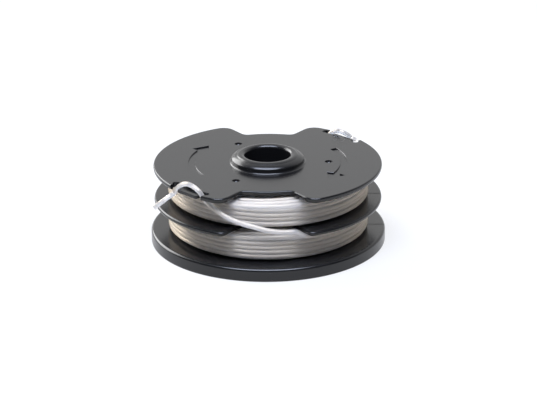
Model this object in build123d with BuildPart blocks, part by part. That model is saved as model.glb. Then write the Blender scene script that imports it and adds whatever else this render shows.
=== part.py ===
from build123d import *
import os
from math import cos, pi, radians, sin, sqrt, tan

# Trimmer spool with two nylon lines, in millimetres, +Z up.
# The origin is on the spool's axis, at the plane that the bottom rim stands on.
# The free end of the lower line shows at the front, towards -Y.

# Nylon line and the way it is wound
line_diameter = 1.6
turns_across = 6  # turns side by side in a full layer
layer_count = 7  # layers from the core outwards
bay_play = 0.25  # spare height in a bay beside a full layer
winding_clearance = 0.1  # between the first layer and the core
groove_depth = 0.4  # dip between neighbouring turns of the outermost layer
line_sides = 5  # flats that stand for the round of a free line end

# Hub of the spool
bore_radius = 7.7
guide_tube_wall = 2.0
core_radius = 24.8
core_wall = 2.0

# Collar round the bore, on the top face: heights count from that face
collar_radius = 12.5
collar_shoulder_height = 1.6
collar_dome_radius = 10.9
collar_dome_height = 2.55
collar_lip_radius = 8.6
collar_height = 3.05
collar_lip_depth = 0.95  # of the bevel that leads into the bore

# Bottom flange with its skirt
bottom_flange_radius = 40.0
bottom_rim_height = 4.4
bottom_plate_thickness = 1.8
bottom_skirt_wall = 2.0
bottom_edge_chamfer = 0.8

# Middle and top flanges
middle_flange_radius = 38.7
middle_flange_thickness = 1.5
top_flange_radius = 38.8
top_flange_thickness = 1.8

# Cut-outs at the front and back of the middle and top flanges
cutout_radius = 28.5  # concentric floor of the cut-out
cutout_half_width = 11.0  # half the width at the gauge radius below
cutout_gauge_radius = 33.0
cutout_flank_lean = 36.0  # degrees that each flank leans outwards
cutout_inner_round = 2.5
top_cutout_outer_round = 4.5
middle_cutout_outer_round = 2.0
cut_overrun = 2.0  # how far a cut runs out past the rim that it cuts

# Line notches in the rim of the top flange, one front left and one back right
notch_angle = 45.0
notch_depth = 3.6
notch_half_width = 7.4
pocket_radius = 1.2  # round relief at each inner corner, where the line can be jammed
pocket_inset = 2.5  # of a pocket's centre from the rim
pocket_half_spacing = 7.2
tongue_half_width = 3.9
tongue_inset = 0.7  # of the tongue's end from the rim
tongue_thickness = 1.4
tongue_corner_chamfer = 0.6

# Moulding gate dimples round the collar
dimple_count = 3
dimple_circle_radius = 20.7
dimple_radius = 1.3
dimple_depth = 0.5

# Routes of the free line ends. Both leave their winding clockwise, climb to a notch, cross its tongue and
# stick out past the rim. Each point has an angle from +X in degrees, a distance out and a height.
# The front end runs under the middle flange, up through its cut-out and along the upper winding:
# distances count from the outside of the windings, heights from the top of the middle flange.
front_lead = [
    (-61.0, 0.80, -2.65),
    (-70.0, 0.85, -2.55),
    (-78.0, 0.90, -0.70),
    (-87.0, 0.95, 0.40),
    (-98.0, 1.15, 2.10),
    (-110.0, 1.30, 4.30),
    (-120.0, 1.35, 7.15),
]
# The back end runs close under the top flange: heights count from its underside.
back_lead = [
    (105.0, 1.20, -2.45),
    (90.0, 1.35, -2.45),
    (76.0, 1.40, -2.35),
    (66.5, 1.45, -2.05),
    (59.4, 1.52, -1.50),
]
# Both cross a notch alike: angles count from its middle, distances from the rim, heights from the top face.
notch_crossing = [
    (10.7, -2.30, -1.70),
    (9.0, -1.85, 0.35),
    (5.6, -1.60, 1.85),
    (1.6, -1.45, 2.45),
    (-1.9, -1.35, 1.95),
    (-4.5, -0.60, 1.05),
    (-6.5, 0.45, -0.65),
    (-8.8, 3.15, -3.65),
    (-10.9, 5.95, -6.50),
]

# Heights and radii that follow from the sizes above
bay_height = turns_across * line_diameter + bay_play
middle_bottom = bottom_rim_height + bay_height
middle_top = middle_bottom + middle_flange_thickness
top_bottom = middle_top + bay_height
top_face = top_bottom + top_flange_thickness
collar_top = top_face + collar_height
guide_tube_radius = bore_radius + guide_tube_wall
core_inner_radius = core_radius - core_wall
core_middle_radius = core_radius - core_wall / 2
skirt_inner_radius = bottom_flange_radius - bottom_skirt_wall
plate_bottom = bottom_rim_height - bottom_plate_thickness
layer_pitch = line_diameter * sqrt(3) / 2
winding_radius = core_radius + line_diameter + (layer_count - 1) * layer_pitch
widest_cut_radius = max(middle_flange_radius, top_flange_radius) + cut_overrun
notch_floor_radius = top_flange_radius - notch_depth
pocket_circle_radius = top_flange_radius - pocket_inset
tongue_radius = top_flange_radius - tongue_inset
half_turn = 180.0
dimple_seat = (Align.CENTER, Align.CENTER, Align.MIN)
touch = 0.01  # reach within which a point counts as being at a place


def near(x, y):
    """Test that tells whether a vertex of a sketch lies at x, y."""
    return lambda vertex: abs(vertex.X - x) < touch and abs(vertex.Y - y) < touch


def beyond(radius):
    """Test that tells whether an edge or vertex lies further from the axis than a radius."""
    return lambda shape: Vector(shape.center().X, shape.center().Y).length > radius


# Half section of everything on the spool that is round: guide tube, collar, core and bottom flange
with BuildSketch(Plane.XZ) as hub_section:
    with BuildLine():
        Polyline(
            (bore_radius, 0),
            (guide_tube_radius, 0),
            (guide_tube_radius, top_bottom),
            (core_inner_radius, top_bottom),
            (core_inner_radius, plate_bottom),
            (skirt_inner_radius, plate_bottom),
            (skirt_inner_radius, 0),
            (bottom_flange_radius, 0),
            (bottom_flange_radius, bottom_rim_height),
            (core_radius, bottom_rim_height),
            (core_radius, top_face),
            (collar_radius, top_face),
            (collar_radius, top_face + collar_shoulder_height),
            (collar_dome_radius, top_face + collar_dome_height),
            (collar_lip_radius, collar_top),
            (bore_radius, collar_top - collar_lip_depth),
            close=True,
        )
    make_face()
    corners = hub_section.vertices()
    chamfer(corners.filter_by(near(bottom_flange_radius, bottom_rim_height)), bottom_edge_chamfer)

# Shape that is cut from a flange at the back, and again at the front
with BuildSketch() as cutout:
    gauge_height = sqrt(cutout_gauge_radius**2 - cutout_half_width**2)
    lean = tan(radians(cutout_flank_lean))
    floor_half_width = cutout_half_width - gauge_height * lean
    mouth_half_width = cutout_half_width + (widest_cut_radius - gauge_height) * lean
    with BuildLine():
        Polyline(
            (0, -floor_half_width / lean),
            (mouth_half_width, widest_cut_radius),
            (-mouth_half_width, widest_cut_radius),
            close=True,
        )
    make_face()
    Circle(cutout_radius, mode=Mode.SUBTRACT)

# Notch with its two corner pockets, drawn at +X
with BuildSketch() as notch:
    with Locations((top_flange_radius, 0)):
        Rectangle(4 * notch_depth, 2 * notch_half_width)
    Circle(notch_floor_radius, mode=Mode.SUBTRACT)
    pocket_reach = sqrt(pocket_circle_radius**2 - pocket_half_spacing**2)
    with Locations((pocket_reach, pocket_half_spacing), (pocket_reach, -pocket_half_spacing)):
        Circle(pocket_radius)

with BuildSketch(Plane.XY.offset(middle_bottom)) as middle_outline:
    Circle(middle_flange_radius)
    with PolarLocations(0, 2):
        add(cutout.sketch, mode=Mode.SUBTRACT)
    rim_corners = middle_outline.vertices().filter_by(beyond(middle_flange_radius - touch))
    fillet(rim_corners, middle_cutout_outer_round)
    fillet(middle_outline.vertices().sort_by_distance((0, 0))[:4], cutout_inner_round)
    Circle(core_middle_radius, mode=Mode.SUBTRACT)

with BuildSketch(Plane.XY.offset(top_bottom)) as top_outline:
    Circle(top_flange_radius)
    with PolarLocations(0, 2):
        add(cutout.sketch, mode=Mode.SUBTRACT)
    rim_corners = top_outline.vertices().filter_by(beyond(top_flange_radius - touch))
    fillet(rim_corners, top_cutout_outer_round)
    fillet(top_outline.vertices().sort_by_distance((0, 0))[:4], cutout_inner_round)
    Circle(core_middle_radius, mode=Mode.SUBTRACT)

with BuildSketch(Plane.XY.offset(top_bottom)) as notches:
    with PolarLocations(0, 2, start_angle=notch_angle):
        add(notch.sketch)

# Tongues that the line ends are looped over
with BuildSketch(Plane.XY.offset(top_bottom)) as tongue_outline:
    with PolarLocations(notch_floor_radius, 2, start_angle=notch_angle):
        Rectangle(2 * (tongue_radius - notch_floor_radius), 2 * tongue_half_width)
    Circle(tongue_radius, mode=Mode.INTERSECT)
    chamfer(tongue_outline.vertices().sort_by_distance((0, 0))[-4:], tongue_corner_chamfer)

# The spool is one moulding
with BuildPart() as spool:
    revolve(hub_section.sketch, axis=Axis.Z)
    extrude(middle_outline.sketch, amount=middle_flange_thickness)
    extrude(top_outline.sketch, amount=top_flange_thickness)
    extrude(notches.sketch, amount=top_flange_thickness, mode=Mode.SUBTRACT)
    extrude(tongue_outline.sketch, amount=tongue_thickness)
    with Locations((0, 0, top_face - dimple_depth)):
        with PolarLocations(dimple_circle_radius, dimple_count):
            Cone(0, dimple_radius, dimple_depth, align=dimple_seat, mode=Mode.SUBTRACT)
spool.part.label = "spool"


def winding_section(bay_bottom):
    """Half section of one winding, with a ridge for each turn of its outermost layer."""
    middle = bay_bottom + bay_height / 2
    outer_turns = turns_across - 1
    lowest_crest = middle - (outer_turns - 1) * line_diameter / 2
    groove_radius = winding_radius - groove_depth
    edge_radius = winding_radius - layer_pitch
    inner_radius = core_radius + winding_clearance
    half_height = turns_across * line_diameter / 2
    outline = [(inner_radius, middle - half_height), (edge_radius, middle - half_height)]
    for turn in range(outer_turns):
        crest = lowest_crest + turn * line_diameter
        if turn > 0:
            outline.append((groove_radius, crest - line_diameter / 2))
        outline.append((winding_radius, crest))
    outline.append((edge_radius, middle + half_height))
    outline.append((inner_radius, middle + half_height))
    with BuildSketch(Plane.XZ) as section:
        with BuildLine():
            Polyline(*outline, close=True)
        make_face()
    return section.sketch


with BuildPart() as lower_winding:
    revolve(winding_section(bottom_rim_height), axis=Axis.Z)
lower_winding.part.label = "lower_winding"

with BuildPart() as upper_winding:
    revolve(winding_section(middle_top), axis=Axis.Z)
upper_winding.part.label = "upper_winding"


def route_points(lead, lead_level, crossing_angle):
    """Points of a line end: its lead, with heights from a level, then its crossing of a notch."""
    polar = [(angle, winding_radius + out, lead_level + rise) for angle, out, rise in lead]
    for angle, out, rise in notch_crossing:
        polar.append((crossing_angle + angle, top_flange_radius + out, top_face + rise))
    return [
        Vector(radius * cos(radians(angle)), radius * sin(radians(angle)), height)
        for angle, radius, height in polar
    ]


def bend_radii(points):
    """Radius of the bend at each inner point, as large as its two runs allow."""
    radii = []
    for before, here, after in zip(points, points[1:], points[2:]):
        half_bend = radians((here - before).get_angle(after - here)) / 2
        shorter = min((here - before).length, (after - here).length)
        radii.append(0.45 * shorter / tan(half_bend))
    return radii


def line_end(points):
    """Line end swept along straight runs with a bend at each inner point."""
    radii = bend_radii(points)
    with BuildPart() as end:
        with BuildLine() as path:
            FilletPolyline(*points, radius=radii)
        with BuildSketch(Plane(origin=path.line @ 0, z_dir=path.line % 0)):
            RegularPolygon(line_diameter / 2, line_sides)
        sweep()
    section = line_sides * sin(2 * pi / line_sides) * line_diameter**2 / 8
    print("bend radii", [round(radius, 1) for radius in radii])
    print("length", round(path.wire().length, 1), "volume over section", round(end.part.volume / section, 1))
    return end


front_line_end = line_end(route_points(front_lead, middle_top, notch_angle - half_turn))
front_line_end.part.label = "front_line_end"

back_line_end = line_end(route_points(back_lead, top_bottom, notch_angle))
back_line_end.part.label = "back_line_end"

os.makedirs("parts", exist_ok=True)
export_step(spool.part, "parts/spool.step")
export_step(lower_winding.part, "parts/lower_winding.step")
export_step(upper_winding.part, "parts/upper_winding.step")
export_step(front_line_end.part, "parts/front_line_end.step")
export_step(back_line_end.part, "parts/back_line_end.step")
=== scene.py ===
import logging
import math
import random
from dataclasses import dataclass, field
from enum import Enum

import bmesh
import bpy
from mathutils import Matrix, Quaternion, Vector


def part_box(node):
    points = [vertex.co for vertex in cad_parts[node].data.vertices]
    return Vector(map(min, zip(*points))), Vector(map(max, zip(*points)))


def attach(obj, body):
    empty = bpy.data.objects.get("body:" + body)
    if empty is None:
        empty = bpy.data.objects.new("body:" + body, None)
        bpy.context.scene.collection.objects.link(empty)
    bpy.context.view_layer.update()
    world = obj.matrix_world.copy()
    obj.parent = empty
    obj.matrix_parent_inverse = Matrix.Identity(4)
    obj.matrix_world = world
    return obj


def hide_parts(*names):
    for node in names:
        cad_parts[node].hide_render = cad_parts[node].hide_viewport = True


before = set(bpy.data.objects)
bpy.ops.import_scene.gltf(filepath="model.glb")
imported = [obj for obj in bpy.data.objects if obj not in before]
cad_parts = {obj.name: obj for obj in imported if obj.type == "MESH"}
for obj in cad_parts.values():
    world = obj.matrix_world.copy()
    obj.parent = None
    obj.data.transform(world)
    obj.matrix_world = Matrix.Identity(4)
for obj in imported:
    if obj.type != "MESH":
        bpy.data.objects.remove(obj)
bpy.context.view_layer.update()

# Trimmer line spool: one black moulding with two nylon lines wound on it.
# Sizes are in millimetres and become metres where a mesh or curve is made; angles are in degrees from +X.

LOG = logging.getLogger("trimmer_spool")
MM = 0.001
BODY = "root"

Point = tuple[float, float]
Place = tuple[float, float, float]
Range = tuple[float, float]
Ring = list[Place]


def linear(hex_colour: str) -> tuple[float, float, float, float]:
    """Turn an sRGB hex colour into linear values.

    Args:
        hex_colour: Six hex digits with a leading hash.

    Returns:
        Red, green, blue and an alpha of 1.
    """
    parts = [int(hex_colour[i : i + 2], 16) / 255 for i in (1, 3, 5)]
    return (*(p / 12.92 if p <= 0.04045 else ((p + 0.055) / 1.055) ** 2.4 for p in parts), 1.0)


def add_node(
    tree: bpy.types.NodeTree,
    kind: str,
    settings: dict | None = None,
    values: dict | None = None,
    links: dict | None = None,
) -> bpy.types.Node:
    """Add one shader node.

    Args:
        tree: Tree that the node joins.
        kind: Blender's type name of the node.
        settings: Properties of the node.
        values: Constants for its input sockets, by name or index.
        links: Output sockets to join to its input sockets, by name or index.

    Returns:
        The new node.
    """
    node = tree.nodes.new(kind)
    for name, value in (settings or {}).items():
        setattr(node, name, value)
    for socket, value in (values or {}).items():
        node.inputs[socket].default_value = value
    for socket, source in (links or {}).items():
        tree.links.new(source, node.inputs[socket])
    return node


def polar(radius: float, angle: float) -> Point:
    """Point at a radius and an angle in degrees."""
    return radius * math.cos(math.radians(angle)), radius * math.sin(math.radians(angle))


def arc(centre: Point, radius: float, start: float, end: float, step: float = 1.9) -> list[Point]:
    """Points along an arc, both ends included.

    Args:
        centre: Centre of the arc.
        radius: Radius of the arc.
        start: Angle at which the arc starts.
        end: Angle at which it ends, below start for a clockwise arc.
        step: Largest angle between two points; an arc has at least three steps.

    Returns:
        The points in order.
    """
    count = max(3, math.ceil(abs(end - start) / step))
    angles = [start + (end - start) * i / count for i in range(count + 1)]
    return [(centre[0] + x, centre[1] + y) for x, y in (polar(radius, a) for a in angles)]


def circle(centre: Point, radius: float, step: float) -> list[Point]:
    """Points round a whole circle, a step in degrees apart, with no point twice."""
    return arc(centre, radius, 0, 360 - step, step)


def arc_through(first: Point, middle: Point, last: Point, count: int = 8) -> list[Point]:
    """Points along the arc that runs through three points.

    Args:
        first: Where the arc starts.
        middle: A point on the way.
        last: Where it ends.
        count: Number of steps.

    Returns:
        The points in order, both ends included.
    """
    (ax, ay), (bx, by), (cx, cy) = first, middle, last
    d = 2 * (ax * (by - cy) + bx * (cy - ay) + cx * (ay - by))
    a2, b2, c2 = ax * ax + ay * ay, bx * bx + by * by, cx * cx + cy * cy
    centre = (
        (a2 * (by - cy) + b2 * (cy - ay) + c2 * (ay - by)) / d,
        (a2 * (cx - bx) + b2 * (ax - cx) + c2 * (bx - ax)) / d,
    )
    start, way, end = (
        math.degrees(math.atan2(y - centre[1], x - centre[0])) for x, y in (first, middle, last)
    )
    turn = (end - start) % 360
    if (way - start) % 360 > turn:
        turn -= 360
    return arc(centre, math.dist(centre, first), start, start + turn, abs(turn) / count)


def offset(outline: list[Point], distance: float) -> list[Point]:
    """Move each side of a closed outline outwards by a distance.

    Args:
        outline: Corners in counter-clockwise order.
        distance: How far the sides move; below zero is inwards.

    Returns:
        The moved corners.
    """
    moved = []
    for i, here in enumerate(outline):
        before, after = outline[i - 1], outline[(i + 1) % len(outline)]
        normals = []
        for (x0, y0), (x1, y1) in ((before, here), (here, after)):
            length = math.hypot(x1 - x0, y1 - y0)
            normals.append(((y1 - y0) / length, (x0 - x1) / length))
        (nx, ny), (mx, my) = normals
        share = distance / (1 + nx * mx + ny * my)
        moved.append((here[0] + (nx + mx) * share, here[1] + (ny + my) * share))
    return moved


def turned(points: list[Point], angle: float) -> list[Point]:
    """Points turned about the axis by an angle in degrees."""
    c, s = math.cos(math.radians(angle)), math.sin(math.radians(angle))
    return [(c * x - s * y, s * x + c * y) for x, y in points]


def mesh_object(name: str, mesh: bmesh.types.BMesh) -> bpy.types.Object:
    """Turn a finished bmesh into an object of the scene.

    Args:
        name: Name of the object.
        mesh: The mesh, which is freed.

    Returns:
        The object.
    """
    bmesh.ops.recalc_face_normals(mesh, faces=mesh.faces)
    data = bpy.data.meshes.new(name)
    mesh.to_mesh(data)
    mesh.free()
    made = bpy.data.objects.new(name, data)
    bpy.context.scene.collection.objects.link(made)
    return made


def stack(mesh: bmesh.types.BMesh, rings: list[Ring]) -> None:
    """Close a stack of rings of equal length into one shell, with a flat face at each end.

    Args:
        mesh: Mesh that gets the shell.
        rings: Rings in millimetres, from the lowest to the highest.
    """
    loops = [[mesh.verts.new((x * MM, y * MM, z * MM)) for x, y, z in ring] for ring in rings]
    for low, high in zip(loops, loops[1:]):
        for i in range(len(low)):
            j = (i + 1) % len(low)
            mesh.faces.new((low[i], low[j], high[j], high[i]))
    mesh.faces.new(list(reversed(loops[0])))
    mesh.faces.new(loops[-1])


def revolve(name: str, profile: list[Point], count: int = 190) -> bpy.types.Object:
    """Turn a closed half section into a round solid.

    Args:
        name: Name of the object.
        profile: Radius and height of each corner, in order.
        count: Number of steps round the axis.

    Returns:
        The solid.
    """
    mesh = bmesh.new()
    loops = []
    for i in range(count):
        spokes = [polar(radius, 360 * i / count) for radius, _ in profile]
        loops.append([mesh.verts.new((x * MM, y * MM, z * MM)) for (x, y), (_, z) in zip(spokes, profile)])
    for i, here in enumerate(loops):
        after = loops[(i + 1) % count]
        for j in range(len(profile)):
            k = (j + 1) % len(profile)
            mesh.faces.new((here[j], after[j], after[k], here[k]))
    return mesh_object(name, mesh)


def combine(base: bpy.types.Object, operation: str, tools: list[bpy.types.Object]) -> bpy.types.Object:
    """Add solids to a base, or cut them out of it. The tools are used up.

    Args:
        base: Solid that is changed.
        operation: UNION or DIFFERENCE.
        tools: The other solids.

    Returns:
        The base.
    """
    for tool in tools:
        modifier = base.modifiers.new(tool.name, "BOOLEAN")
        modifier.operation = operation
        modifier.solver = "EXACT"
        modifier.object = tool
    old = base.data
    made = base.evaluated_get(bpy.context.evaluated_depsgraph_get())
    base_data = bpy.data.meshes.new_from_object(made)
    base.modifiers.clear()
    base.data = base_data
    bpy.data.meshes.remove(old)
    for tool in tools:
        data = tool.data
        bpy.data.objects.remove(tool)
        bpy.data.meshes.remove(data)
    return base


class Bay(Enum):
    """The two bays of the spool."""

    LOWER = "lower"
    UPPER = "upper"


@dataclass(frozen=True)
class MouldedPlastic:
    """Black ABS, injection moulded against a finely eroded tool.

    The grain spreads a reflection a little and leaves a faint unevenness, so that broad faces look dark
    grey where they mirror something bright and black where they don't.
    """

    colour: str = "#111112"
    worn_colour: str = "#171718"
    roughness: float = 0.22
    roughness_spread: float = 0.04
    ior: float = 1.5
    grain_mm: float = 0.5  # real grain is near 0.1 mm; drawn coarser so that it shows
    grain_depth_mm: float = 0.012
    grain_strength: float = 0.35
    flow_mm: float = 9.0

    def material(self) -> bpy.types.Material:
        """Build the material.

        Returns:
            The material, ready to be put on a mesh.
        """
        material = bpy.data.materials.new("moulded_abs_black")
        material.use_nodes = True
        tree = material.node_tree
        tree.nodes.clear()
        place = add_node(tree, "ShaderNodeTexCoord")
        grain = add_node(
            tree,
            "ShaderNodeTexNoise",
            values={"Scale": 1 / (self.grain_mm * MM), "Detail": 2.0, "Roughness": 0.6},
            links={"Vector": place.outputs["Object"]},
        )
        flow = add_node(
            tree,
            "ShaderNodeTexNoise",
            values={"Scale": 1 / (self.flow_mm * MM), "Detail": 3.0, "Roughness": 0.55},
            links={"Vector": place.outputs["Object"]},
        )
        tint = add_node(
            tree,
            "ShaderNodeMix",
            settings={"data_type": "RGBA"},
            values={"A": linear(self.colour), "B": linear(self.worn_colour)},
            links={"Factor": flow.outputs["Fac"]},
        )
        gloss = add_node(
            tree,
            "ShaderNodeMapRange",
            values={
                "To Min": self.roughness - self.roughness_spread,
                "To Max": self.roughness + self.roughness_spread,
            },
            links={"Value": flow.outputs["Fac"]},
        )
        bump = add_node(
            tree,
            "ShaderNodeBump",
            values={"Strength": self.grain_strength, "Distance": self.grain_depth_mm * MM},
            links={"Height": grain.outputs["Fac"]},
        )
        shader = add_node(
            tree,
            "ShaderNodeBsdfPrincipled",
            values={"IOR": self.ior},
            links={
                "Base Color": tint.outputs["Result"],
                "Roughness": gloss.outputs["Result"],
                "Normal": bump.outputs["Normal"],
            },
        )
        add_node(tree, "ShaderNodeOutputMaterial", links={"Surface": shader.outputs["BSDF"]})
        return material


@dataclass(frozen=True)
class ExtrudedNylon:
    """Clear nylon 6 monofilament, drawn through a round die.

    It is glossy and milky clear. Light that runs round inside a strand comes back as a sheen, broad across
    the strand and narrow along it, and what goes through several turns takes on a warm straw tone.
    """

    colour: str = "#f4f3ef"
    straw: str = "#e4d6bc"
    sheen_colour: str = "#f2e2cc"
    milk_colour: str = "#f2f6fc"
    milk_share: float = 0.85
    sheen_share: float = 0.29
    sheen_spread: float = 0.08
    sheen_roughness: float = 0.42
    sheen_stretch: float = 0.65
    roughness: float = 0.09
    ior: float = 1.53
    transmission: float = 0.4
    strand_mm: float = 7200.0  # about the length of a line, which the texture's first direction runs along
    girth_mm: float = 5.03  # the way round a strand, which its second direction runs along
    drawing_mm: float = 0.4  # spacing of the faint die lines round the strand
    drawing_depth_mm: float = 0.01
    drawing_strength: float = 0.15
    streak_mm: float = 30.0
    tone_mm: float = 6.0
    noise_range: Range = (0.3, 0.7)  # where nearly all values of a noise lie

    def material(self) -> bpy.types.Material:
        """Build the material.

        Returns:
            The material, ready to be put on a curve.
        """
        material = bpy.data.materials.new("extruded_nylon_clear")
        material.use_nodes = True
        tree = material.node_tree
        tree.nodes.clear()
        place = add_node(tree, "ShaderNodeTexCoord")
        tone = add_node(
            tree,
            "ShaderNodeTexNoise",
            values={"Scale": 1 / (self.tone_mm * MM), "Detail": 2.0},
            links={"Vector": place.outputs["Object"]},
        )
        tint = add_node(
            tree,
            "ShaderNodeMix",
            settings={"data_type": "RGBA"},
            values={"A": linear(self.colour), "B": linear(self.straw)},
            links={"Factor": tone.outputs["Fac"]},
        )
        strand = add_node(
            tree,
            "ShaderNodeMapping",
            values={"Scale": (self.strand_mm / self.streak_mm, self.girth_mm / self.drawing_mm, 1.0)},
            links={"Vector": place.outputs["UV"]},
        )
        lines = add_node(
            tree,
            "ShaderNodeTexNoise",
            values={"Scale": 1.0, "Detail": 2.0},
            links={"Vector": strand.outputs["Vector"]},
        )
        share = add_node(
            tree,
            "ShaderNodeMapRange",
            values={
                "From Min": self.noise_range[0],
                "From Max": self.noise_range[1],
                "To Min": self.sheen_share - self.sheen_spread,
                "To Max": self.sheen_share + self.sheen_spread,
            },
            links={"Value": lines.outputs["Fac"]},
        )
        bump = add_node(
            tree,
            "ShaderNodeBump",
            values={"Strength": self.drawing_strength, "Distance": self.drawing_depth_mm * MM},
            links={"Height": lines.outputs["Fac"]},
        )
        shader = add_node(
            tree,
            "ShaderNodeBsdfPrincipled",
            values={
                "IOR": self.ior,
                "Roughness": self.roughness,
                "Transmission Weight": self.transmission,
            },
            links={"Base Color": tint.outputs["Result"], "Normal": bump.outputs["Normal"]},
        )
        along = add_node(tree, "ShaderNodeTangent", settings={"direction_type": "UV_MAP"})
        sheen = add_node(
            tree,
            "ShaderNodeBsdfAnisotropic",
            values={
                "Color": linear(self.sheen_colour),
                "Roughness": self.sheen_roughness,
                "Anisotropy": self.sheen_stretch,
            },
            links={"Tangent": along.outputs["Tangent"], "Normal": bump.outputs["Normal"]},
        )
        milk = add_node(
            tree,
            "ShaderNodeBsdfTranslucent",
            values={"Color": linear(self.milk_colour)},
            links={"Normal": bump.outputs["Normal"]},
        )
        inside = add_node(
            tree,
            "ShaderNodeMixShader",
            values={"Fac": self.milk_share},
            links={1: shader.outputs["BSDF"], 2: milk.outputs["BSDF"]},
        )
        surface = add_node(
            tree,
            "ShaderNodeMixShader",
            links={"Fac": share.outputs["Result"], 1: inside.outputs["Shader"], 2: sheen.outputs["BSDF"]},
        )
        add_node(tree, "ShaderNodeOutputMaterial", links={"Surface": surface.outputs["Shader"]})
        return material


@dataclass
class SpoolMoulding:
    """The spool: three flanges on a hollow core, a collar round the bore, notches, arrows and marks."""

    rim_radius: float = field(default_factory=lambda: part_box("spool")[1].x / MM)
    bore_radius: float = 7.7
    tube_radius: float = 9.7
    core_radius: float = 24.8
    core_inner_radius: float = 22.8
    skirt_inner_radius: float = 38.0
    plate_bottom: float = 2.6
    rim_height: float = 4.4
    rim_round: float = 1.0
    foot_round: float = 0.3
    core_fillet: float = 0.4
    middle_bottom: float = 14.25
    middle_top: float = 15.75
    middle_radius: float = 38.7
    middle_round: float = 0.7
    top_bottom: float = 25.6
    top_face: float = 27.4
    top_radius: float = 38.8
    top_round: float = 0.55
    top_under_round: float = 0.9
    collar_radius: float = 12.42
    collar_cove: float = 0.8
    shoulder_height: float = 28.8
    crease_radius: float = 10.5
    crease_height: float = 30.08
    collar_top: float = 30.45
    lip_radius: float = 8.7
    lip_depth: float = 0.95
    shoulder_setback: float = 0.55
    shoulder_round: float = 0.5
    shoulder_turn: float = 50.0
    dome_start: Point = (0.3, 0.46)  # in from the collar's side, up from its shoulder
    dome_way: Point = (0.95, 0.92)  # in from the collar's side, up from its shoulder
    dome_end: Point = (0.12, 0.04)  # out from the crease, up from it
    bead_start: Point = (0.1, 0.07)  # in from the crease, up from it
    bead_way: Point = (0.45, 0.1)  # in from the crease, down from the collar's top
    lip_start: Point = (0.08, 0.01)  # in from the lip, down from the collar's top
    lip_way: Point = (0.3, 0.36)  # out from the bore, down from the collar's top
    cutout_radius: float = 28.5
    cutout_half_width: float = 11.0
    cutout_gauge_radius: float = 33.0
    flank_lean: float = 36.0
    inner_round: float = 2.5
    top_outer_round: float = 4.5
    middle_outer_round: float = 2.0
    notch_angle: float = 45.0
    notch_floor: float = 35.2
    notch_half_width: float = 7.4
    pocket_radius: float = 1.2
    pocket_circle: float = 36.3
    pocket_half_spacing: float = 7.2
    tongue_sides: Range = (-4.3, 5.0)
    tongue_radius: float = 38.1
    tongue_thickness: float = 1.05
    tongue_corner: float = 0.8
    tongue_round: float = 0.2
    tongue_round_way: float = 0.3  # share of the round at which its middle ring lies
    tongue_setback: float = 0.15
    tongue_root: float = 2.0
    dimple_circle: float = 20.7
    dimple_radius: float = 1.25
    dimple_depth: float = 1.15
    dimple_count: int = 3
    dish_slopes: tuple[int, ...] = (8, 22, 36, 50, 64, 77)
    arrow_inner: float = 24.7
    arrow_outer: float = 27.0
    arrow_tail: float = 29.5
    arrow_base: float = -25.8
    arrow_tip: float = -38.1
    arrow_tip_radius: float = 26.1
    barb_inner: float = 22.5
    barb_inner_angle: float = -26.6
    barb_outer: float = 29.2
    barb_outer_angle: float = -27.0
    arrow_depth: float = 0.42
    arrow_draft: float = 0.05
    edge_break: float = 0.08
    seam_width: float = 0.4
    seam_depth: float = 0.25
    overlap: float = 0.05
    sharp_angle: float = 32.0
    normal_weight: int = 60
    # How far a cutting solid reaches past what it cuts.
    mouth_overshoot: float = 2.0
    notch_overshoot: float = 3.0
    bore_overshoot: float = 5.0
    mark_overshoot: float = 0.5
    seam_overshoot: float = 1.0
    # Angles between the points of round stretches.
    edge_step: float = 20.0
    rim_step: float = 12.0
    fillet_step: float = 30.0
    shoulder_step: float = 10.0
    flank_step: float = 8.0
    inner_step: float = 10.0
    pocket_step: float = 20.0
    tongue_step: float = 18.0
    arrow_step: float = 3.0
    bore_step: float = 2.0
    dimple_step: float = 15.0

    def hub_profile(self) -> list[Point]:
        """Half section of the bottom flange, core, guide tube and collar.

        Returns:
            Radius and height of each corner, in order.
        """
        rim, rim_round, foot, fillet = self.rim_radius, self.rim_round, self.foot_round, self.core_fillet
        inside_top = (self.top_bottom + self.top_face) / 2
        roof = self.top_bottom - self.overlap
        cove, collar_foot = self.collar_cove, self.collar_radius + self.collar_cove
        profile = [
            (self.bore_radius, 0),
            (self.tube_radius, 0),
            (self.tube_radius, roof),
            (self.core_inner_radius, roof),
            (self.core_inner_radius, self.plate_bottom),
            (self.skirt_inner_radius, self.plate_bottom),
            (self.skirt_inner_radius, 0),
        ]
        profile += arc((rim - foot, foot), foot, -90, 0, self.edge_step)
        profile += arc((rim - rim_round, self.rim_height - rim_round), rim_round, 0, 90, self.rim_step)
        core_foot = (self.core_radius + fillet, self.rim_height + fillet)
        profile += arc(core_foot, fillet, 270, 180, self.fillet_step)
        profile += [(self.core_radius, inside_top), (collar_foot, inside_top)]
        profile += arc((collar_foot, self.top_face + cove), cove, 270, 180, self.rim_step)
        return profile + self.collar_profile()

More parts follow.
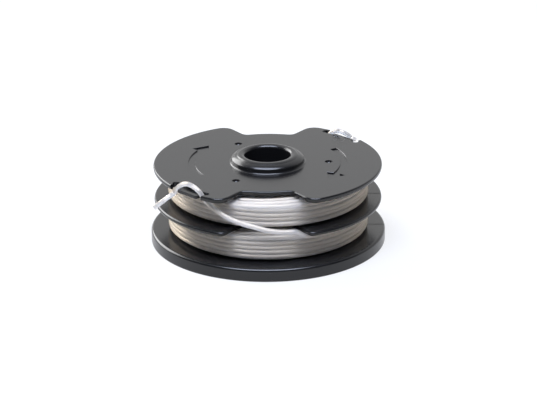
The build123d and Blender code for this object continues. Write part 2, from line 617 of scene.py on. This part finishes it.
    def collar_profile(self) -> list[Point]:
        """Half section of the collar: its shoulder, dome, crease, bead and lip.

        Returns:
            Radius and height of each corner, from the collar's side to the bore.
        """
        side, shoulder, top = self.collar_radius, self.shoulder_height, self.collar_top
        crease, crease_height = self.crease_radius, self.crease_height
        bend = (side - self.shoulder_setback, shoulder)
        profile = arc(bend, self.shoulder_round, 0, self.shoulder_turn, self.shoulder_step)
        profile += arc_through(
            (side - self.dome_start[0], shoulder + self.dome_start[1]),
            (side - self.dome_way[0], shoulder + self.dome_way[1]),
            (crease + self.dome_end[0], crease_height + self.dome_end[1]),
            count=6,
        )
        profile += [(crease, crease_height)]
        profile += arc_through(
            (crease - self.bead_start[0], crease_height + self.bead_start[1]),
            (crease - self.bead_way[0], top - self.bead_way[1]),
            (self.lip_radius, top),
        )
        profile += arc_through(
            (self.lip_radius - self.lip_start[0], top - self.lip_start[1]),
            (self.bore_radius + self.lip_way[0], top - self.lip_way[1]),
            (self.bore_radius, top - self.lip_depth),
        )
        return profile

    def flange_outline(self, radius: float, outer_round: float) -> list[Point]:
        """Outline of a flange with its two cut-outs.

        Args:
            radius: Radius of the rim.
            outer_round: Radius where a cut-out's flank meets the rim.

        Returns:
            The outline in counter-clockwise order.
        """
        lean = math.radians(self.flank_lean)
        along = Vector((math.sin(lean), math.cos(lean)))
        across = Vector((math.cos(lean), -math.sin(lean)))
        gauge_rise = math.sqrt(self.cutout_gauge_radius**2 - self.cutout_half_width**2)
        gauge = Vector((self.cutout_half_width, gauge_rise))

        def centre_at(start: Vector, distance: float) -> Vector:
            """Point on the line from start along the flank that lies at a distance from the axis."""
            shift = start.dot(along)
            return start + along * (math.sqrt(shift**2 - start.length_squared + distance**2) - shift)

        outer = centre_at(gauge + across * outer_round, radius - outer_round)
        inner = centre_at(gauge - across * self.inner_round, self.cutout_radius + self.inner_round)
        rim_angle = math.degrees(math.atan2(outer.y, outer.x))
        floor_angle = math.degrees(math.atan2(inner.y, inner.x))
        right = arc(outer, outer_round, rim_angle, 180 - self.flank_lean, self.flank_step)
        right += arc(inner, self.inner_round, -self.flank_lean, floor_angle - 180, self.inner_step)
        right += arc((0, 0), self.cutout_radius, floor_angle, 90)[1:]
        left = [(-x, y) for x, y in reversed(right[:-1])]
        half = arc((0, 0), radius, -rim_angle, rim_angle)[1:-1] + right + left
        return half + [(-x, -y) for x, y in half]

    def notch_outline(self) -> list[Point]:
        """Outline of a notch with its two corner pockets, at +X.

        Returns:
            The outline in counter-clockwise order.
        """
        radius, floor_radius = self.pocket_radius, self.notch_floor
        reach = math.sqrt(self.pocket_circle**2 - self.pocket_half_spacing**2)
        centre = (reach, self.pocket_half_spacing)
        far = self.top_radius + self.mouth_overshoot
        wall = math.degrees(math.asin((self.notch_half_width - self.pocket_half_spacing) / radius))
        gap, outwards = math.hypot(*centre), math.degrees(math.atan2(centre[1], centre[0]))
        lean = math.degrees(math.acos((gap**2 + radius**2 - floor_radius**2) / (2 * gap * radius)))
        pocket = arc(centre, radius, wall, 180 + outwards + lean, self.pocket_step)
        floor_angle = math.degrees(math.atan2(pocket[-1][1], pocket[-1][0]))
        floor = arc((0, 0), floor_radius, floor_angle, -floor_angle)[1:-1]
        mirrored = [(x, -y) for x, y in reversed(pocket)]
        mouth = [(far, -self.notch_half_width), (far, self.notch_half_width)]
        return mouth + pocket + floor + mirrored

    def arrow_outline(self) -> list[Point]:
        """Outline of the right-hand turning arrow.

        Returns:
            The outline in counter-clockwise order.
        """
        outline = arc((0, 0), self.arrow_outer, self.arrow_base, self.arrow_tail, self.arrow_step)
        outline += arc((0, 0), self.arrow_inner, self.arrow_tail, self.arrow_base, self.arrow_step)
        outline += [
            polar(self.barb_inner, self.barb_inner_angle),
            polar(self.arrow_tip_radius, self.arrow_tip),
            polar(self.barb_outer, self.barb_outer_angle),
        ]
        return outline

    def plate(
        self,
        name: str,
        outline: list[Point],
        span: Range,
        low_round: float,
        high_round: float,
        hole: float,
    ) -> bpy.types.Object:
        """Flat plate with rounded edges and a round hole.

        Args:
            name: Name of the object.
            outline: Outline in counter-clockwise order.
            span: Lowest and highest height.
            low_round: Radius of the lower edge.
            high_round: Radius of the upper edge.
            hole: Radius of the hole.

        Returns:
            The plate.
        """
        low, high = span
        rings = []
        for x, z in arc((0, low + low_round), low_round, -90, 0, self.edge_step):
            rings.append([(*p, z) for p in offset(outline, x - low_round)])
        for x, z in arc((0, high - high_round), high_round, 0, 90, self.edge_step):
            rings.append([(*p, z) for p in offset(outline, x - high_round)])
        mesh = bmesh.new()
        stack(mesh, rings)
        made = mesh_object(name, mesh)
        bore = bmesh.new()
        heights = (low - self.bore_overshoot, high + self.bore_overshoot)
        stack(bore, [[(*p, z) for p in circle((0, 0), hole, self.bore_step)] for z in heights])
        return combine(made, "DIFFERENCE", [mesh_object(name + "_bore", bore)])

    def notch_tool(self) -> bpy.types.Object:
        """Solid that cuts both notches out of the top flange.

        Returns:
            The solid, which reaches past both faces of the flange.
        """
        mesh = bmesh.new()
        heights = (self.top_bottom - self.notch_overshoot, self.top_face + self.notch_overshoot)
        for angle in (self.notch_angle, self.notch_angle - 180):
            outline = turned(self.notch_outline(), angle)
            stack(mesh, [[(*p, z) for p in outline] for z in heights])
        return mesh_object("notch_tool", mesh)

    def tongues(self) -> bpy.types.Object:
        """The two tongues that the line ends are looped over.

        Returns:
            One object with both tongues, whose roots reach into the flange.
        """
        (right, left), corner, soft = self.tongue_sides, self.tongue_corner, self.tongue_round
        inner, outer = self.notch_floor - self.tongue_root, self.tongue_radius - self.tongue_setback
        outline = [(inner, right)]
        outline += arc((outer - corner, right + corner), corner, -90, 0, self.tongue_step)
        outline += arc((outer - corner, left - corner), corner, 0, 90, self.tongue_step)
        outline += [(inner, left)]
        low, high = self.top_bottom + self.overlap, self.top_bottom + self.tongue_thickness
        way = self.tongue_round_way * soft
        levels = [(low, 0.0), (high - soft, 0.0), (high - way, -way), (high, -soft)]
        mesh = bmesh.new()
        for angle in (self.notch_angle, self.notch_angle - 180):
            stack(mesh, [[(*p, z) for p in turned(offset(outline, grow), angle)] for z, grow in levels])
        return mesh_object("tongues", mesh)

    def marks_tool(self) -> bpy.types.Object:
        """Solid that cuts the turning arrows, gate dimples and parting seams into the faces.

        Returns:
            One object with a separate shell for each mark.
        """
        mesh = bmesh.new()
        face, brk, above = self.top_face, self.edge_break, self.top_face + self.mark_overshoot
        arrow = self.arrow_outline()
        levels = [(face - self.arrow_depth, -self.arrow_draft), (face - brk, 0.0)]
        levels += [(face, brk), (above, brk)]
        for angle in (0, 180):
            stack(mesh, [[(*p, z) for p in turned(offset(arrow, grow), angle)] for z, grow in levels])
        dish = []
        for slope in self.dish_slopes:
            across, down = math.sin(math.radians(slope)), math.cos(math.radians(slope))
            dish.append((self.dimple_radius * across, face - self.dimple_depth * down))
        dish += [(self.dimple_radius + brk, face), (self.dimple_radius + brk, above)]
        for i in range(self.dimple_count):
            centre = polar(self.dimple_circle, 360 * i / self.dimple_count)
            stack(mesh, [[(*p, z) for p in circle(centre, radius, self.dimple_step)] for radius, z in dish])
        half, past = self.seam_width / 2, self.seam_overshoot
        for height, rim in ((self.middle_top, self.middle_radius), (self.rim_height, self.rim_radius)):
            inner, outer = self.core_radius + past, rim + past
            strip = [(inner, -half), (outer, -half), (outer, half), (inner, half)]
            stack(mesh, [[(*p, z) for p in strip] for z in (height - self.seam_depth, height + past)])
        return mesh_object("marks_tool", mesh)

    def build(self) -> bpy.types.Object:
        """Build the whole moulding as one mesh.

        Returns:
            The moulding, without its finish.
        """
        top = self.plate(
            "top_flange",
            self.flange_outline(self.top_radius, self.top_outer_round),
            (self.top_bottom, self.top_face),
            self.top_under_round,
            self.top_round,
            (self.bore_radius + self.collar_radius) / 2,
        )
        combine(top, "DIFFERENCE", [self.notch_tool()])
        middle = self.plate(
            "middle_flange",
            self.flange_outline(self.middle_radius, self.middle_outer_round),
            (self.middle_bottom, self.middle_top),
            self.middle_round,
            self.middle_round,
            (self.core_radius + self.core_inner_radius) / 2,
        )
        moulding = revolve("spool_moulding", self.hub_profile())
        combine(moulding, "UNION", [top, middle, self.tongues()])
        combine(moulding, "DIFFERENCE", [self.marks_tool()])
        return moulding

    def dress(self, moulding: bpy.types.Object, finish: MouldedPlastic) -> None:
        """Shade the moulding, give it its finish and put it in place of the CAD node.

        Args:
            moulding: The mesh.
            finish: What it is moulded from.
        """
        data = moulding.data
        data.materials.clear()
        data.materials.append(finish.material())
        data.polygons.foreach_set("use_smooth", [True] * len(data.polygons))
        data.set_sharp_from_angle(angle=math.radians(self.sharp_angle))
        weigh = moulding.modifiers.new("weighted_normals", "WEIGHTED_NORMAL")
        weigh.keep_sharp = True
        weigh.weight = self.normal_weight
        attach(moulding, BODY)
        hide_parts("spool")


@dataclass
class WoundLine:
    """One length of nylon line: its turns in a bay, its lead to a notch, its loop over a tongue and its end.

    The lead and the crossing list an angle, a radius and a height for each point. The crossing's angles
    count from the notch's own.
    """

    name: str
    bay: Bay
    middle: float
    seed: int
    last_angle: float
    lead: list[Place]
    crossing: list[Place]
    notch_angle: float
    nodes: tuple[str, ...]
    diameter: float = 1.6
    core_radius: float = SpoolMoulding.core_radius
    layers: int = 7
    full_turns: int = 6
    points_per_turn: int = 16
    level_share: float = 0.55  # part of a turn that runs level
    step_share: float = 0.45  # part of a turn that steps over to the next
    stray_radial: float = 0.10
    stray_axial: float = 0.13
    pitch: float = 1.5
    tilt: float = 0.25
    bulge: float = 0.0
    bulge_half_angle: float = 18.0
    bulge_from: float = 0.45  # share of the bay's half height at which the swell starts
    bulge_ramp: float = 0.3  # share over which it grows to its full size

    def turns(self) -> list[Point]:
        """Turns of the line, from the core outwards, layer by layer up and down.

        Returns:
            Radius and height of each turn.
        """
        step = self.pitch * math.sqrt(3) / 2
        found = []
        for layer in range(self.layers):
            count = self.full_turns - (1 - layer % 2)
            radius = self.core_radius + self.diameter / 2 + layer * step
            heights = [self.middle + (i - (count - 1) / 2) * self.pitch for i in range(count)]
            if layer % 2:
                heights.reverse()
            found += [(radius, height) for height in heights]
        return found

    def lift(self, angle: float, height: float) -> float:
        """How far a turn beside the middle flange swells into that flange's cut-outs.

        Args:
            angle: Angle of the point.
            height: Its height, without the swell.

        Returns:
            The change in height.
        """
        off = abs((angle % 180) - 90)
        edge = (height - self.middle) / (self.diameter * self.full_turns / 2) * math.copysign(1, self.bulge)
        if off >= self.bulge_half_angle or edge < self.bulge_from:
            return 0.0
        share = min(1.0, (edge - self.bulge_from) / self.bulge_ramp)
        return self.bulge * share * math.cos(math.pi / 2 * off / self.bulge_half_angle) ** 2

    def winding_points(self) -> list[Vector]:
        """Points of the turns, each of which runs level and steps over to the next in its last part.

        Returns:
            The points in metres, from the core outwards.
        """
        rng = random.Random(self.seed)
        turns = self.turns()
        steps = self.points_per_turn
        # A smooth curve runs inside the corners of its points, so they lie a little outside the turn.
        swell = 1 / math.cos(math.pi / steps)
        strays = []
        for _ in turns:
            inwards = rng.uniform(-self.stray_radial, 0)
            strays.append((inwards, rng.uniform(-self.stray_axial, self.stray_axial)))
        total = len(turns) * steps
        points = []
        for i in range(total):
            turn, step = divmod(i, steps)
            after = min(turn + 1, len(turns) - 1)
            share = max(0.0, (step - self.level_share * steps) / (self.step_share * steps))
            share = share * share * (3 - 2 * share)  # eases in and out
            radius = turns[turn][0] * (1 - share) + turns[after][0] * share
            height = turns[turn][1] * (1 - share) + turns[after][1] * share
            stray = [a * (1 - share) + b * share for a, b in zip(strays[turn], strays[after])]
            angle = self.last_angle + 360 * (total - i) / steps
            depth = (self.middle - height) / (self.pitch * self.full_turns) + 0.5
            height += self.lift(angle, height) - self.tilt * depth * math.cos(math.radians(angle))
            x, y = polar((radius + stray[0]) * swell, angle)
            points.append(Vector((x, y, height + stray[1])) * MM)
        return points

    def route_points(self) -> list[Vector]:
        """Points of the lead and of the crossing of the notch, in metres."""
        polars = self.lead + [(self.notch_angle + a, r, z) for a, r, z in self.crossing]
        return [Vector((*polar(radius, angle), height)) * MM for angle, radius, height in polars]

    def build(self) -> bpy.types.Object:
        """Build the line as one smooth curve.

        Returns:
            The curve, round and closed at its ends.
        """
        points = self.winding_points() + self.route_points()
        curve = bpy.data.curves.new(self.name, "CURVE")
        curve.dimensions = "3D"
        spline = curve.splines.new("NURBS")
        spline.points.add(len(points) - 1)
        for point, place in zip(spline.points, points):
            point.co = (*place, 1)
        spline.order_u = 3
        spline.use_endpoint_u = True
        spline.resolution_u = 4
        curve.bevel_depth = self.diameter / 2 * MM
        curve.bevel_resolution = 4
        curve.use_fill_caps = True
        line = bpy.data.objects.new(self.name, curve)
        bpy.context.scene.collection.objects.link(line)
        return line

    def length(self) -> float:
        """Length of the line, from its turns and its route.

        Returns:
            The length in metres.
        """
        wound = sum(2 * math.pi * radius for radius, _ in self.turns()) * MM
        route = self.route_points()
        return wound + sum((b - a).length for a, b in zip(route, route[1:]))

    def dress(self, line: bpy.types.Object, material: bpy.types.Material) -> None:
        """Args:
            line: The curve.
            material: The nylon.
        """
        line.data.materials.append(material)
        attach(line, BODY)
        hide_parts(*self.nodes)
        tuple(self.winding_points()[0])
        self.length()


@dataclass(frozen=True)
class SoftBox:
    """Rectangular soft light that points at the spool."""

    name: str
    place: Place
    size: tuple[float, float]
    power: float
    colour: str
    aim: Place = (0, 0, 15)

    def build(self) -> None:
        """Add the lamp to the scene."""
        data = bpy.data.lights.new(self.name, "AREA")
        data.shape = "RECTANGLE"
        data.size, data.size_y = self.size[0] * MM, self.size[1] * MM
        data.energy = self.power
        data.color = linear(self.colour)[:3]
        lamp = bpy.data.objects.new(self.name, data)
        bpy.context.scene.collection.objects.link(lamp)
        lamp.location = Vector(self.place) * MM
        lamp.rotation_mode = "QUATERNION"
        lamp.rotation_quaternion = (Vector(self.aim) - Vector(self.place)).to_track_quat("-Z", "Y")


@dataclass
class Studio:
    """White floor, soft light and the camera."""

    elevation: float = 21.4
    azimuth: float = 0.8
    distance: float = 850.0
    target: Place = (0.15, 0.0, 11.6)
    roll: float = -0.52
    focal_pixels: float = 2486.0
    image_width: int = 537
    sensor: float = 36.0
    clip_metres: Range = (0.01, 50)
    floor_half: float = 4000.0
    floor_span: Range = (-2, -0.02)
    paper_colour: str = "#808080"
    paper_glow: float = 0.68
    white: str = "#ffffff"
    front_to_back: Range = (-0.1, 0.5)  # the world's Y between which its level goes over
    front_back_level: Range = (0.08, 0.93)
    middle_to_right: Range = (0.2, 0.8)  # the world's X between which its level goes over
    middle_right_level: Range = (1.0, 0.72)
    lamps: tuple[SoftBox, ...] = (
        SoftBox("overhead_softbox", place=(-28, -265, 755), size=(720, 460), power=12.5, colour="#e0e9ff"),
        SoftBox("left_softbox", place=(-682, 573, 454), size=(800, 600), power=9.5, colour="#ffffff"),
    )

    def camera(self) -> bpy.types.Object:
        """Camera at the photograph's angle.

        Returns:
            The camera, which is the scene's own.
        """
        data = bpy.data.cameras.new("camera")
        data.sensor_fit = "HORIZONTAL"
        data.sensor_width = self.sensor
        data.lens = self.focal_pixels / self.image_width * self.sensor
        data.clip_start, data.clip_end = self.clip_metres
        made = bpy.data.objects.new("camera", data)
        bpy.context.scene.collection.objects.link(made)
        up, turn = math.radians(self.elevation), math.radians(self.azimuth)
        back = Vector((math.sin(turn) * math.cos(up), -math.cos(turn) * math.cos(up), math.sin(up)))
        made.location = (Vector(self.target) + back * self.distance) * MM
        made.rotation_mode = "QUATERNION"
        level = (-back).to_track_quat("-Z", "Y")
        made.rotation_quaternion = level @ Quaternion((0, 0, 1), math.radians(self.roll))
        bpy.context.scene.camera = made
        return made

    def floor(self) -> bpy.types.Object:
        """Paper sweep under the spool: white to the eye and in mirrors, grey in the light it throws back.

        Returns:
            The floor, which belongs to the stage.
        """
        mesh = bmesh.new()
        half = self.floor_half
        corners = [(-half, -half), (half, -half), (half, half), (-half, half)]
        stack(mesh, [[(*corner, z) for corner in corners] for z in self.floor_span])
        floor = mesh_object("floor", mesh)
        material = bpy.data.materials.new("white_paper_sweep")
        material.use_nodes = True
        tree = material.node_tree
        tree.nodes.clear()
        path = add_node(tree, "ShaderNodeLightPath")
        seen = path.outputs["Is Camera Ray"]
        for ray in ("Is Glossy Ray", "Is Transmission Ray"):
            either = add_node(
                tree,
                "ShaderNodeMath",
                settings={"operation": "MAXIMUM"},
                links={0: seen, 1: path.outputs[ray]},
            )
            seen = either.outputs["Value"]
        lift = add_node(
            tree,
            "ShaderNodeMath",
            settings={"operation": "MULTIPLY"},
            values={1: self.paper_glow},
            links={0: seen},
        )
        paper = add_node(tree, "ShaderNodeBsdfDiffuse", values={"Color": linear(self.paper_colour)})
        glow = add_node(
            tree,
            "ShaderNodeEmission",
            values={"Color": linear(self.white)},
            links={"Strength": lift.outputs["Value"]},
        )
        both = add_node(
            tree,
            "ShaderNodeAddShader",
            links={0: paper.outputs["BSDF"], 1: glow.outputs["Emission"]},
        )
        add_node(tree, "ShaderNodeOutputMaterial", links={"Surface": both.outputs["Shader"]})
        floor.data.materials.append(material)
        return floor

    def world(self) -> None:
        """Pale room: bright behind the spool, dim on the camera's side and a little darker to the right."""
        world = bpy.data.worlds.new("pale_room")
        bpy.context.scene.world = world
        world.use_nodes = True
        tree = world.node_tree
        tree.nodes.clear()
        place = add_node(tree, "ShaderNodeTexCoord")
        parts = add_node(tree, "ShaderNodeSeparateXYZ", links={"Vector": place.outputs["Generated"]})
        ramps = []
        for axis, span, levels in (
            ("Y", self.front_to_back, self.front_back_level),
            ("X", self.middle_to_right, self.middle_right_level),
        ):
            ramp = add_node(
                tree,
                "ShaderNodeMapRange",
                settings={"interpolation_type": "SMOOTHSTEP"},
                values={"From Min": span[0], "From Max": span[1], "To Min": levels[0], "To Max": levels[1]},
                links={"Value": parts.outputs[axis]},
            )
            ramps.append(ramp.outputs["Result"])
        level = add_node(
            tree,
            "ShaderNodeMath",
            settings={"operation": "MULTIPLY"},
            links={0: ramps[0], 1: ramps[1]},
        )
        light = add_node(
            tree,
            "ShaderNodeBackground",
            values={"Color": linear(self.white)},
            links={"Strength": level.outputs["Value"]},
        )
        add_node(tree, "ShaderNodeOutputWorld", links={"Surface": light.outputs["Background"]})

    def build(self) -> None:
        """Set up floor, light and camera."""
        bpy.context.scene.view_settings.view_transform = "Standard"
        self.floor()
        self.world()
        for lamp in self.lamps:
            lamp.build()
        self.camera()


def lower_line() -> WoundLine:
    """The lower bay's line, led up through the middle flange's front cut-out to the front notch.

    Returns:
        The line, not yet built.
    """
    return WoundLine(
        name="lower_line",
        bay=Bay.LOWER,
        middle=9.5,
        seed=4,
        last_angle=-20.0,
        lead=[
            (-35.0, 34.20, 12.65),
            (-48.0, 35.00, 12.95),
            (-61.0, 35.40, 13.10),
            (-70.0, 35.50, 13.35),
            (-73.4, 35.55, 15.65),
            (-80.0, 35.60, 15.60),
            (-88.0, 35.70, 16.25),
            (-96.0, 35.80, 17.60),
            (-104.0, 35.95, 18.80),
            (-112.0, 36.00, 20.45),
            (-120.0, 36.05, 22.90),
        ],
        crossing=[
            (10.7, 36.50, 25.40),
            (8.8, 36.85, 27.70),
            (5.6, 37.10, 29.05),
            (1.8, 37.25, 29.70),
            (-2.0, 37.30, 29.15),
            (-5.2, 37.30, 28.05),
            (-8.0, 37.35, 26.55),
            (-9.4, 37.95, 24.45),
            (-8.6, 40.30, 24.15),
            (-9.2, 42.60, 22.80),
            (-10.9, 45.30, 20.70),
        ],
        notch_angle=-135.0,
        bulge=1.1,
        nodes=("lower_winding", "front_line_end"),
    )


def upper_line() -> WoundLine:
    """The upper bay's line, led round the back to the back notch.

    Returns:
        The line, not yet built.
    """
    return WoundLine(
        name="upper_line",
        bay=Bay.UPPER,
        middle=20.9,
        seed=9,
        last_angle=146.0,
        lead=[
            (131.0, 34.20, 23.70),
            (118.0, 35.20, 23.35),
            (105.0, 35.91, 23.15),
            (90.0, 36.06, 23.15),
            (76.0, 36.11, 23.25),
            (66.5, 36.16, 23.55),
            (59.4, 36.23, 24.10),
        ],
        crossing=[
            (10.7, 36.45, 25.35),
            (8.8, 36.70, 26.95),
            (6.4, 36.90, 28.00),
            (3.2, 37.05, 28.55),
            (0.8, 37.70, 28.20),
            (-1.2, 39.15, 26.75),
            (-2.6, 39.60, 25.80),
            (-4.4, 40.00, 25.80),
        ],
        notch_angle=45.0,
        nodes=("upper_winding", "back_line_end"),
    )


def main() -> None:
    """Build the spool, its two lines and the studio."""
    logging.basicConfig(level=logging.INFO, format="%(name)s: %(message)s")
    spool = SpoolMoulding()
    moulding = spool.build()
    spool.dress(moulding, MouldedPlastic())
    LOG.info("%s has %d faces", moulding.name, len(moulding.data.polygons))
    nylon = ExtrudedNylon().material()
    for line in (lower_line(), upper_line()):
        made = line.build()
        line.dress(made, nylon)
        LOG.info("%s in the %s bay is %.2f m long", made.name, line.bay.value, line.length())
    Studio().build()


if __name__ == "__main__":
    main()
